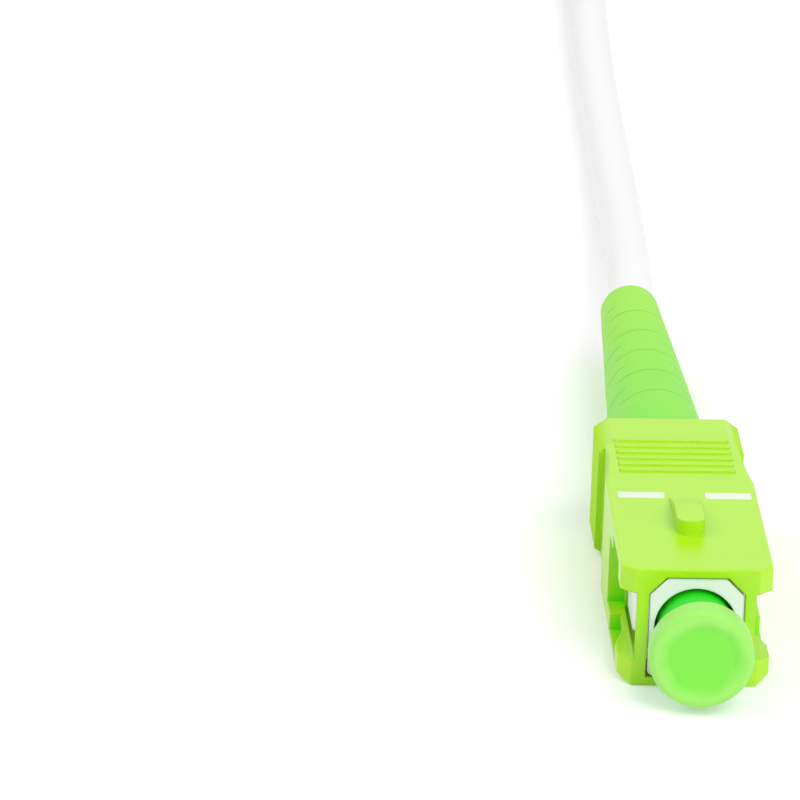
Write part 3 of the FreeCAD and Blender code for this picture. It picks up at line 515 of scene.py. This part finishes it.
paint(moulded("grip_green", (0.455, 0.84, 0.010), (0.44, 0.82, 0.008), 0.30, ior=1.6,
              edge=MOULDED_EDGE, vary=grip_sides), "outer_housing")
# Painted light: the plug's white is a touch pink, to offset the green light thrown onto it.
paint(moulded("plug_white", (0.97, 0.95, 0.97), (0.95, 0.93, 0.95), 0.40, edge=MOULDED_EDGE),
      "inner_housing")

# %% [markdown]
# ## Boot
#
# The boot is a softer, duller elastomer of a bluer green. Its grain is coarser, its reflection
# wide, and a trace of sheen lightens it where it turns away.
#
# Its wall is thin at the tip and thick at the grip, and such a milky rubber is paler and yellower
# where it is thin. Light that scatters inside the rubber would show that by itself, but it takes
# many samples to come out clean. A blend of two colours along the boot does as well. The change
# isn't even, so clouds some millimetres across push it to and fro.

# %% Boot
BOOT_CLOUDS = 4 * MM
BOOT_UNEVEN = 0.9
BOOT_GRAIN = 0.16 * MM


def elastomer():
    """Dull rubber, paler and yellower where its wall is thin."""
    finish = Finish("boot_green", {"Sheen Weight": 0.05, "IOR": 1.48})
    place = finish.place()
    along = finish.axes(place)[1]
    clouds = finish.noise(place, BOOT_CLOUDS, detail=3.0)
    thin = along.between(boot_low.y, boot_high.y) + clouds.around(0, BOOT_UNEVEN)
    fine = finish.noise(place, BOOT_GRAIN, detail=3.0, rough=0.6)
    finish.feed({
        "Base Color": finish.blend(thin, (0.24, 0.81, 0.075), (0.36, 0.86, 0.055)),
        "Roughness": fine.around(0.55, span=0.12),
        "Normal": finish.bump(fine, depth=0.006 * MM, edge=MOULDED_EDGE),
    })
    return finish


paint(elastomer(), "boot")

# %% [markdown]
# ## Dust cap
#
# The cap is translucent polyethylene. In the middle of the head the ferrule's end stands behind
# it, the material is thick, and its green is deep. The thin rim of the head lets light through and
# looks pale. Real translucency would be noisy at this size, so that light is painted: the depth of
# colour follows the distance from the axis, which clouds in the material make a little uneven. The
# sleeve, in the dark bore, is painted the deepest green of all, as painted shade.

# %% Dust cap
CAP_DEEP = 1.85 * MM
CAP_PALE = 2.6 * MM
CAP_SLEEVE = 1.6 * MM
CAP_BLEND = 0.4 * MM
CAP_CLOUDS = 1.3 * MM
CAP_UNEVEN = 1.3 * MM
CAP_GRAIN = 0.2 * MM


def translucent_cap():
    """Polyethylene painted pale at the rim and deep at the axis, with painted shade in the bore."""
    finish = Finish("cap_green", {"IOR": 1.5})
    place = finish.place()
    across, along, height = finish.axes(place)
    up = height - axis_height
    radius = (across * across + up * up) ** 0.5
    # Painted shade: where the cap sits in the dark bore it takes the deepest green.
    sleeve_shade = along.between(cap_front + CAP_SLEEVE, cap_front + CAP_SLEEVE + CAP_BLEND)
    clouds = finish.noise(place, CAP_CLOUDS, detail=3.0).around(0, CAP_UNEVEN)
    thin = (radius + clouds).between(CAP_DEEP, CAP_PALE)
    head = finish.blend(thin, (0.21, 0.80, 0.055), (0.35, 0.83, 0.14))
    fine = finish.noise(place, CAP_GRAIN)
    finish.feed({
        "Base Color": finish.blend(sleeve_shade, head, (0.015, 0.72, 0.002)),
        "Roughness": fine.around(0.42, span=0.1),
        "Normal": finish.bump(fine, depth=0.004 * MM, edge=MOULDED_EDGE),
    })
    return finish


paint(translucent_cap(), "dust_cap")

# %% [markdown]
# ## Metal, ceramic and glass inside
#
# Under the plastic sit nickel-plated turned parts, a spring of stainless wire, and the white
# zirconia ferrule with its fibre. A lathe leaves fine rings round the axis, so the noise for the
# turned parts is drawn out across the axis and varies only along it.

# %% Turned metal and ceramic
RINGS = 0.05 * MM
ALONG_RINGS = (50, 1, 50)
RING_SHADE = 0.9


def turned_metal(name, colour, roughness):
    """Bare metal with the fine rings that a lathe leaves."""
    finish = Finish(name, {"Metallic": 1.0})
    rings = finish.noise(finish.place(stretch=ALONG_RINGS), RINGS)
    worn = [part * RING_SHADE for part in colour]
    finish.feed({
        "Base Color": finish.blend(rings, colour, worn),
        "Roughness": rings.around(roughness, span=0.12),
        "Normal": finish.bump(rings, depth=0.002 * MM),
    })
    return finish


paint(turned_metal("nickel", (0.72, 0.69, 0.63), 0.28),
      "ferrule_flange", "rear_body", "crimp_ring")
paint(turned_metal("spring_steel", (0.60, 0.60, 0.60), 0.25), "coil_spring")
paint(moulded("zirconia", (0.86, 0.85, 0.81), (0.84, 0.83, 0.79), 0.12, depth=0.0004 * MM),
      "ferrule")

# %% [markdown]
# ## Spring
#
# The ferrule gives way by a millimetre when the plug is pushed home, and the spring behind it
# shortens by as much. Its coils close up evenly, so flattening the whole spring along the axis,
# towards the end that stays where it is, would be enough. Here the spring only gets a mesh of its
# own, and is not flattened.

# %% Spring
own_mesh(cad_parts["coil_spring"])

# %% [markdown]
# ## Fibre, buffer, guide tube and yarn
#
# The glass fibre, its white buffer and the milky guide tube are smooth extrusions. The aramid
# yarn is a bundle of straight yellow filaments folded over the crimp barrel, so its noise is drawn
# out along the axis.

# %% Fibre, buffer, guide tube and yarn
FILAMENT = 0.09 * MM
ALONG_YARN = (1, 25, 1)


def aramid():
    """Bundled yellow filaments along the cable."""
    finish = Finish("yarn_yellow", {"Sheen Weight": 0.3})
    strands = finish.noise(finish.place(stretch=ALONG_YARN), FILAMENT, detail=3.0)
    finish.feed({
        "Base Color": finish.blend(strands, (0.75, 0.58, 0.16), (0.55, 0.40, 0.09)),
        "Roughness": strands.around(0.55, span=0.2),
        "Normal": finish.bump(strands, depth=0.03 * MM),
    })
    return finish


paint(moulded("glass_fibre", (0.85, 0.88, 0.92), (0.82, 0.86, 0.90), 0.12, depth=0.0002 * MM),
      "optical_fibre")
paint(moulded("buffer_white", (0.84, 0.84, 0.82), (0.80, 0.80, 0.78), 0.45), "tight_buffer")
paint(moulded("guide_milky", (0.78, 0.80, 0.80), (0.74, 0.76, 0.76), 0.35), "guide_tube")
paint(aramid(), "aramid_yarn")

# %% [markdown]
# ## Cable jacket
#
# The jacket is extruded PVC with a soft orange peel: shallow swellings about half a millimetre
# apart. The cable turns every way in its hank, so the noise is the same in all directions.

# %% Jacket
PEEL = 0.5 * MM
JACKET_DRIFT = 8 * MM


def extruded_jacket():
    """White PVC with shallow swellings."""
    finish = Finish("jacket_white", {"IOR": 1.46})
    place = finish.place()
    peel = finish.noise(place, PEEL, detail=3.0)
    drift = finish.noise(place, JACKET_DRIFT)
    finish.feed({
        "Base Color": finish.blend(drift, (0.97, 0.97, 0.965), (0.955, 0.955, 0.95)),
        "Roughness": peel.around(0.42, span=0.15),
        "Normal": finish.bump(peel, depth=0.01 * MM),
    })
    return finish


cable.data.materials.append(extruded_jacket().owner)
print("jacket on the cable")

# %% [markdown]
# ## Ties
#
# Two narrow hook-and-loop ties hold the hank. The back of such a tie is a dark grey knit of short
# loops, which stand up as small round bumps. Loops made one by one would be the heaviest thing in
# the scene. A Voronoi texture grows from the middle of each of its cells to the cell's border, so
# turned over it is one bump for each loop.

# %% Ties
LOOP = 0.35 * MM
TIE_DRIFT = 2 * MM


def loop_knit():
    """Dark grey loops."""
    finish = Finish("tie_grey", {"Sheen Weight": 0.4, "IOR": 1.45})
    place = finish.place()
    loops = finish.node("ShaderNodeTexVoronoi", None, {"Vector": place, "Scale": 1 / LOOP})
    drift = finish.noise(place, TIE_DRIFT)
    finish.feed({
        "Base Color": finish.blend(drift * loops, (0.035, 0.037, 0.040), (0.020, 0.021, 0.023)),
        "Roughness": drift.around(0.8, span=0.15),
        "Normal": finish.bump(1 - loops, depth=0.10 * MM),
    })
    return finish


paint(loop_knit(), "hank_tie_right", "hank_tie_left")

# %% [markdown]
# ## Printed lines
#
# Two white lines are pad-printed across the grip's top, one on each side of the key. They show
# how far the plug is pushed home. They could be a pattern in the grip's colour, but ink stands a
# few hundredths of a millimetre proud and has soft corners. So each line is a thin plate with
# rounded corners. The print is a tenth of a millimetre off the middle, as pad prints often are.

# %% Printed lines
LINE_INNER = 1.23 * MM
LINE_OUTER = 4.02 * MM
LINE_FRONT = 11.45 * MM
LINE_REAR = 12.42 * MM
PRINT_SHIFT = 0.11 * MM
INK_HEIGHT = 0.02 * MM
INK_GRAIN = 0.15 * MM
LINE_CORNER = 0.12 * MM
CORNER_STEPS = 5
top_height = axis_height * 2


def rounded_outline(left, right, front, rear, radius):
    """Corner points of a rectangle with round corners, in order."""
    corners = [
        (right - radius, rear - radius, 0),
        (left + radius, rear - radius, 90),
        (left + radius, front + radius, 180),
        (right - radius, front + radius, 270),
    ]
    outline = []
    for x, y, start in corners:
        for i in range(CORNER_STEPS + 1):
            angle = math.radians(start + 90 * i / CORNER_STEPS)
            outline.append((x + radius * math.cos(angle), y + radius * math.sin(angle)))
    return outline


def printed_line(name, left, right):
    """A thin plate of ink on the grip's top, half sunk into it."""
    outline = rounded_outline(left + PRINT_SHIFT, right + PRINT_SHIFT,
                              grip_front + LINE_FRONT, grip_front + LINE_REAR, LINE_CORNER)
    count = len(outline)
    low = [(x, y, top_height - INK_HEIGHT) for x, y in outline]
    high = [(x, y, top_height + INK_HEIGHT) for x, y in outline]
    walls = [(i, (i + 1) % count, count + (i + 1) % count, count + i) for i in range(count)]
    top = tuple(range(count, 2 * count))
    mesh = bpy.data.meshes.new(name)
    mesh.from_pydata(low + high, [], walls + [top, tuple(reversed(range(count)))])
    mesh.update()
    line = bpy.data.objects.new(name, mesh)
    bpy.context.scene.collection.objects.link(line)
    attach(line, "grip")
    return line


ink = moulded("white_ink", (0.83, 0.93, 0.80), (0.79, 0.90, 0.75), 0.5, grain=INK_GRAIN)
for name, left, right in (
    ("printed_line_right", LINE_INNER, LINE_OUTER),
    ("printed_line_left", -LINE_OUTER, -LINE_INNER),
):
    line = printed_line(name, left, right)
    line.data.materials.append(ink.owner)
print("two printed lines")

# %% [markdown]
# ## Floor
#
# A white table with no visible edge. It is a plain diffuse white, and a trace of glow lifts it to
# full white. Only the camera, mirror images and what is seen through glass show that glow, so it
# lights nothing. The shadows stay, because the glow is small.

# %% Floor
FLOOR_REACH = 3.0
FLOOR_WHITE = 0.94
GLOW = 0.19


def white_floor():
    """A large white square that glows a little in what the camera and mirrors see."""
    finish = Finish("floor_white", {
        "Base Color": (FLOOR_WHITE, FLOOR_WHITE, FLOOR_WHITE, 1), "Roughness": 0.9,
        "Specular IOR Level": 0.0, "Emission Strength": 1.0,
    })
    path = finish.node("ShaderNodeLightPath", output="Is Camera Ray")
    seen = path + path.output("Is Glossy Ray") + path.output("Is Transmission Ray")
    finish.feed({
        "Emission Color": finish.blend(seen.between(0, 1), (0, 0, 0), (GLOW, GLOW, GLOW)),
    })
    corners = [(-FLOOR_REACH, -FLOOR_REACH, 0), (FLOOR_REACH, -FLOOR_REACH, 0),
               (FLOOR_REACH, FLOOR_REACH, 0), (-FLOOR_REACH, FLOOR_REACH, 0)]
    mesh = bpy.data.meshes.new("floor")
    mesh.from_pydata(corners, [], [(0, 1, 2, 3)])
    floor = bpy.data.objects.new("floor", mesh)
    floor.data.materials.append(finish.owner)
    bpy.context.scene.collection.objects.link(floor)


white_floor()
print("floor", FLOOR_REACH * 2, "m across")

# %% [markdown]
# ## Light
#
# A bright room lights the connector from all sides, and two large soft lamps give it shape. The
# stronger one stands in front on the right, so that the cap shades the lower left of the grip's
# front and the left side's pockets stay deep. The weaker one, on the left, keeps the flank and the
# cable's shaded side pale. Together they light the floor at a plain level, at which a colour shows
# as it is written.
#
# What reflections see is the room too: white behind the connector, where the white table runs
# on, and dim on the side that the connector faces. So a face seen at a slant picks up white, and
# a face seen straight on keeps its full colour. The lamps themselves don't show in reflections,
# which would put two bright squares on every gloss.

# %% Room
ROOM_STRENGTH = 0.48
DIM_SIDE = 0.2
DIM_FROM = -0.3
BRIGHT_FROM = 0.4


def room_light():
    """White for the camera, paler towards the back in mirrors, and an even light on the scene."""
    world = bpy.data.worlds.new("room")
    bpy.context.scene.world = world
    finish = Finish("room", {"Color": (1, 1, 1, 1)}, owner=world)
    path = finish.node("ShaderNodeLightPath", output="Is Camera Ray")
    mirrored = (path.output("Is Glossy Ray") + path.output("Is Transmission Ray")).between(0, 1)
    backwards = finish.axes(finish.node("ShaderNodeTexCoord", output="Generated"))[1]
    mirror_room = DIM_SIDE + (1 - DIM_SIDE) * backwards.between(DIM_FROM, BRIGHT_FROM)
    lit = (1 - path - mirrored).between(0, 1)
    finish.feed({"Strength": path + mirrored * mirror_room + ROOM_STRENGTH * lit})


room_light()
print("room at", ROOM_STRENGTH)

# %% Lamps
LAMP_AIM = Vector((0, 0.02, 0))
LAMP_SIZE = 0.7


def soft_lamp(name, place, power):
    """A large square lamp that is aimed at the connector."""
    light = bpy.data.lights.new(name, "AREA")
    light.shape = "SQUARE"
    light.size = LAMP_SIZE
    light.energy = power
    lamp = bpy.data.objects.new(name, light)
    bpy.context.scene.collection.objects.link(lamp)
    lamp.location = place
    lamp.visible_glossy = False
    way = LAMP_AIM - Vector(place)
    lamp.rotation_euler = way.to_track_quat("-Z", "Y").to_euler()
    # What a fully white floor gives back of it, where 1 shows as full white.
    level = power / (math.pi * way.length) ** 2 * -way.z / way.length
    print(f"{name}: {level:.2f} of the plain level on the floor")


soft_lamp("left_lamp", place=(-0.60, 0.05, 0.70), power=2.3)
soft_lamp("front_lamp", place=(0.33, -0.60, 0.70), power=6.2)
bpy.context.scene.view_settings.view_transform = "Standard"
